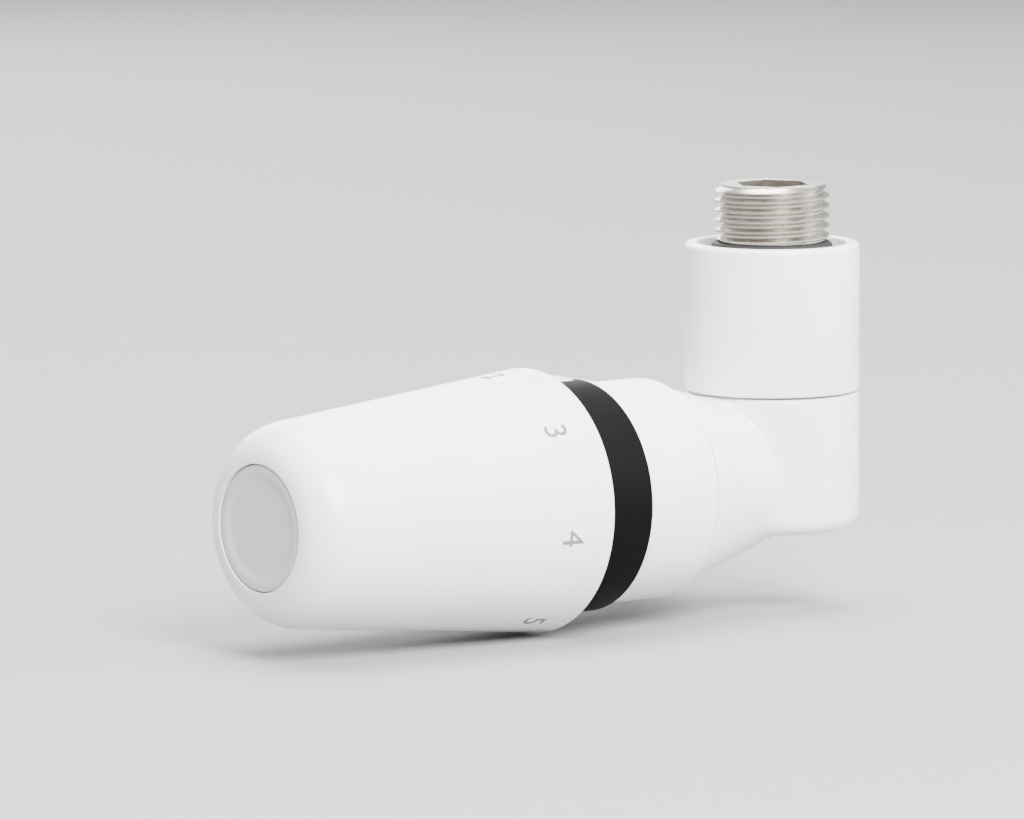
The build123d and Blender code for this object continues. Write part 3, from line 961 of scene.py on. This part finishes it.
def skin_distances(p):
    """How far a point is from the upright branch, the widening neck and the inlet boss."""
    boss_radius = 10.4 * MM
    neck_start, neck_end = -4.0 * MM, 28.0 * MM
    neck_root, neck_mouth = 9.3 * MM, 18.8 * MM
    neck_slope = (neck_mouth - neck_root) / (neck_end - neck_start)
    far_away = 1.0
    to_branch = abs(hypot(p.x, p.y) - BRANCH_RADIUS)
    to_neck = abs(from_head_line(p) - neck_root - neck_slope * (-p.x - neck_start))
    to_boss = abs(from_inlet(p) - boss_radius) if p.y > INLET_BOSS_START else far_away
    return sorted((to_branch, to_neck, to_boss))


def in_a_bore(p):
    """Whether a point lies in the inlet, the upright bore or the insert's chamber."""
    inlet_reach, upright_reach, chamber_reach = 9.8 * MM, 9.2 * MM, 9.0 * MM
    inlet = p.y > INLET_BOSS_START and from_inlet(p) < inlet_reach
    upright = p.z > HEAD_HEIGHT and hypot(p.x, p.y) < upright_reach
    chamber = p.x < 0 and from_head_line(p) < chamber_reach
    return inlet or upright or chamber


class VALVE_OT_body(bpy.types.Operator):
    """Build the cast body with soft blends where its branches meet, and bare brass in its bores"""

    bl_idname = "valve.body"
    bl_label = "Body"

    def execute(self, context):
        make_finishes(context.scene.valve_colours)
        source = copied("valve_body")
        mesh = bpy.data.meshes.new("body_work")
        source.to_mesh(mesh)
        source.free()
        work = bpy.data.objects.new("body_work", mesh)
        remesh = work.modifiers.new("skin", "REMESH")
        remesh.mode = "VOXEL"
        remesh.voxel_size = 0.45 * MM
        remesh.adaptivity = 0.0
        bm = bmesh.new()
        bm.from_mesh(evaluated_mesh(context, work))

        # the blends are where two skins are near, away from the collar's seat
        second_skin, nearest_skin = 2.4 * MM, 1.6 * MM
        collar_seat = -27.0 * MM
        blends = []
        for vert in bm.verts:
            nearest, second, _ = skin_distances(vert.co)
            if second < second_skin and nearest < nearest_skin and vert.co.x > collar_seat:
                blends.append(vert)
        every_way = {"factor": 0.5, "use_axis_x": True, "use_axis_y": True, "use_axis_z": True}
        bmesh.ops.smooth_vert(bm, verts=bm.verts[:], **every_way)
        blend_passes = 28
        for _ in range(blend_passes):
            bmesh.ops.smooth_vert(bm, verts=blends, **every_way)
        for face in bm.faces:
            face.material_index = 1 if in_a_bore(face.calc_center_median()) else 0
        piece = settle(bm, "cast_body", "valve", FINISHES["enamel"], "valve_body")
        piece.data.materials.append(FINISHES["brassY"])
        return {"FINISHED"}


class VALVE_OT_base_ring(bpy.types.Operator):
    """Give the black base its grained plastic and the index mark its white"""

    bl_idname = "valve.base_ring"
    bl_label = "Black ring"

    def execute(self, context):
        make_finishes(context.scene.valve_colours)
        dress({"head_base": "ring", "index_mark": "mark"})
        return {"FINISHED"}


class VALVE_OT_inlet(bpy.types.Operator):
    """Build the cover sleeve and dress the compression joint inside it"""

    bl_idname = "valve.inlet"
    bl_label = "Inlet"

    def execute(self, context):
        make_finishes(context.scene.valve_colours)
        low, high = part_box("inlet_cover")
        radius = (high.z - low.z) / 2
        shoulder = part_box("inlet_nut")[0].y
        boss_bore = 11.0 * MM
        nut_bore = 14.1 * MM
        fine = 0.2 * MM
        mouth_edge = 0.45 * MM
        corners = [
            (low.y, boss_bore, fine),
            (low.y, radius, 0.9 * MM),
            (high.y, radius, mouth_edge),
            (high.y, nut_bore, mouth_edge),
            (shoulder, nut_bore, 0.3 * MM),
            (shoulder, boss_bore, fine),
        ]
        bm = spun(corners, "inlet", steps=144, segments=4)
        settle(bm, "cover_sleeve", "valve", FINISHES["enamel"], "inlet_cover")
        dress({"inlet_nut": "nickelY", "inlet_olive": "brassY"})
        return {"FINISHED"}


class VALVE_OT_seals(bpy.types.Operator):
    """Give the seals and the gasket their rubber and fibre"""

    bl_idname = "valve.seals"
    bl_label = "Seals"

    def execute(self, context):
        make_finishes(context.scene.valve_colours)
        dress(
            {
                "tail_seal_ring": "rubber",
                "tail_gasket": "fibre",
                "insert_o_ring": "rubber",
                "gland_o_ring": "rubber",
                "seal_disc": "rubber",
            }
        )
        return {"FINISHED"}


class VALVE_OT_insert(bpy.types.Operator):
    """Dress the thermostatic insert and its spindle"""

    bl_idname = "valve.insert"
    bl_label = "Insert and spindle"

    def execute(self, context):
        make_finishes(context.scene.valve_colours)
        dress(
            {
                "insert_housing": "brassX",
                "spring_retainer": "brassX",
                "gland_nut": "brassX",
                "disc_nut": "brassX",
                "disc_holder": "brassX",
                "spindle": "steel",
                "spring_plate": "steel",
                "push_pin": "steel",
            }
        )
        stretching(
            "valve_return_spring", "return_spring", "spring", "valve"
        )
        return {"FINISHED"}


class VALVE_OT_sensor(bpy.types.Operator):
    """Dress the sensor, its carrier and the rings that hold the head together"""

    bl_idname = "valve.sensor"
    bl_label = "Sensor and carrier"

    def execute(self, context):
        make_finishes(context.scene.valve_colours)
        dress(
            {
                "thread_sleeve": "grey_plastic",
                "sensor_carrier": "grey_plastic",
                "pressure_button": "grey_plastic",
                "snap_ring": "spring",
                "sensor_ring": "spring",
                "sensor_can": "can",
                "sensor_plate": "can",
                "sensor_pin": "steel",
            }
        )
        stretching(
            "over_travel_coil", "over_travel_spring", "spring", "sensor"
        )
        stretching(
            "bellows_folds", "sensor_bellows", "brassX", "sensor"
        )
        return {"FINISHED"}


# name, place from the middle of the valve, width of the disk and power in watts
LIGHTS = (
    ("window", (-0.25, -1.0, 0.75), 0.7, 62.0),
    ("fill_right", (0.95, -0.6, 0.4), 0.8, 14.0),
    ("ceiling", (0.1, 0.1, 1.15), 1.1, 44.0),
    ("back", (0.5, 1.0, 0.5), 0.8, 12.0),
)


class VALVE_OT_stage(bpy.types.Operator):
    """Lay the pale floor, set the soft lights and the camera"""

    bl_idname = "valve.stage"
    bl_label = "Stage"

    def execute(self, context):
        scene = context.scene
        low, high = CAD_BOX
        centre = (low + high) / 2
        floor_half_width = 3.0
        floor_gap = 0.2 * MM
        bm = bmesh.new()
        bmesh.ops.create_grid(bm, x_segments=2, y_segments=2, size=floor_half_width)
        bmesh.ops.translate(bm, verts=bm.verts[:], vec=(0, 0, low.z - floor_gap))
        mesh = bpy.data.meshes.new("floor")
        bm.to_mesh(mesh)
        bm.free()
        floor = bpy.data.objects.new("floor", mesh)
        scene.collection.objects.link(floor)
        # matt paint, rolled on: even and without glare, so only the valve's shadow shows on it
        board_tones = (linear("#929393"), linear("#979898"))
        mesh.materials.append(studio_board("matt_white_painted_board", board_tones, stipple_mm=3.0))

        world = bpy.data.worlds.new("soft_room")
        scene.world = world
        world.use_nodes = True
        background = world.node_tree.nodes["Background"]
        background.inputs["Color"].default_value = linear("#EEF0F2")
        background.inputs["Strength"].default_value = 0.9

        for name, place, size, power in LIGHTS:
            light = bpy.data.lights.new(name, "AREA")
            light.shape = "DISK"
            light.size = size
            light.energy = power
            lamp = bpy.data.objects.new(name, light)
            lamp.location = centre + Vector(place)
            lamp.rotation_euler = (-Vector(place)).to_track_quat("-Z", "Y").to_euler()
            scene.collection.objects.link(lamp)

        # a long lens, far back, that sees this width at the valve
        azimuth, elevation = radians(-39), radians(7.0)
        lens, sensor, seen_width = 400.0, 36.0, 0.185
        back = Vector((sin(azimuth) * cos(elevation), -cos(azimuth) * cos(elevation), sin(elevation)))
        camera = bpy.data.cameras.new("view")
        camera.lens = lens
        camera.sensor_width = sensor
        camera.clip_end = 50.0
        eye = bpy.data.objects.new("view", camera)
        eye.location = centre + back * (seen_width * lens / sensor)
        eye.rotation_euler = back.to_track_quat("Z", "Y").to_euler()
        scene.collection.objects.link(eye)
        scene.camera = eye
        return {"FINISHED"}


class VALVE_PT_panel(bpy.types.Panel):
    """Sizes, colours and the building steps of the valve"""

    bl_idname = "VALVE_PT_panel"
    bl_label = "Corner radiator valve"
    bl_space_type = "VIEW_3D"
    bl_region_type = "UI"
    bl_category = "Valve"

    def draw(self, context):
        layout = self.layout
        for group in (context.scene.valve_sizes, context.scene.valve_colours):
            column = layout.column(align=True)
            for name in group.__annotations__:
                column.prop(group, name)
        for operator in OPERATORS:
            layout.operator(operator.bl_idname)


OPERATORS = (
    VALVE_OT_stage,
    VALVE_OT_cap,
    VALVE_OT_front_disc,
    VALVE_OT_numbers,
    VALVE_OT_base_ring,
    VALVE_OT_collar,
    VALVE_OT_body,
    VALVE_OT_union_nut,
    VALVE_OT_tail,
    VALVE_OT_inlet,
    VALVE_OT_seals,
    VALVE_OT_insert,
    VALVE_OT_sensor,
)
CLASSES = (ValveSizes, ValveColours) + OPERATORS + (VALVE_PT_panel,)


def register():
    for cls in CLASSES:
        bpy.utils.register_class(cls)
    bpy.types.Scene.valve_sizes = bpy.props.PointerProperty(type=ValveSizes)
    bpy.types.Scene.valve_colours = bpy.props.PointerProperty(type=ValveColours)


def unregister():
    del bpy.types.Scene.valve_colours
    del bpy.types.Scene.valve_sizes
    for cls in reversed(CLASSES):
        bpy.utils.unregister_class(cls)


def main():
    register()
    for operator in OPERATORS:
        step = getattr(bpy.ops.valve, operator.bl_idname.split(".")[1])
        if step() != {"FINISHED"}:
            raise RuntimeError(operator.bl_idname + " did not finish")


if __name__ == "__main__":
    main()
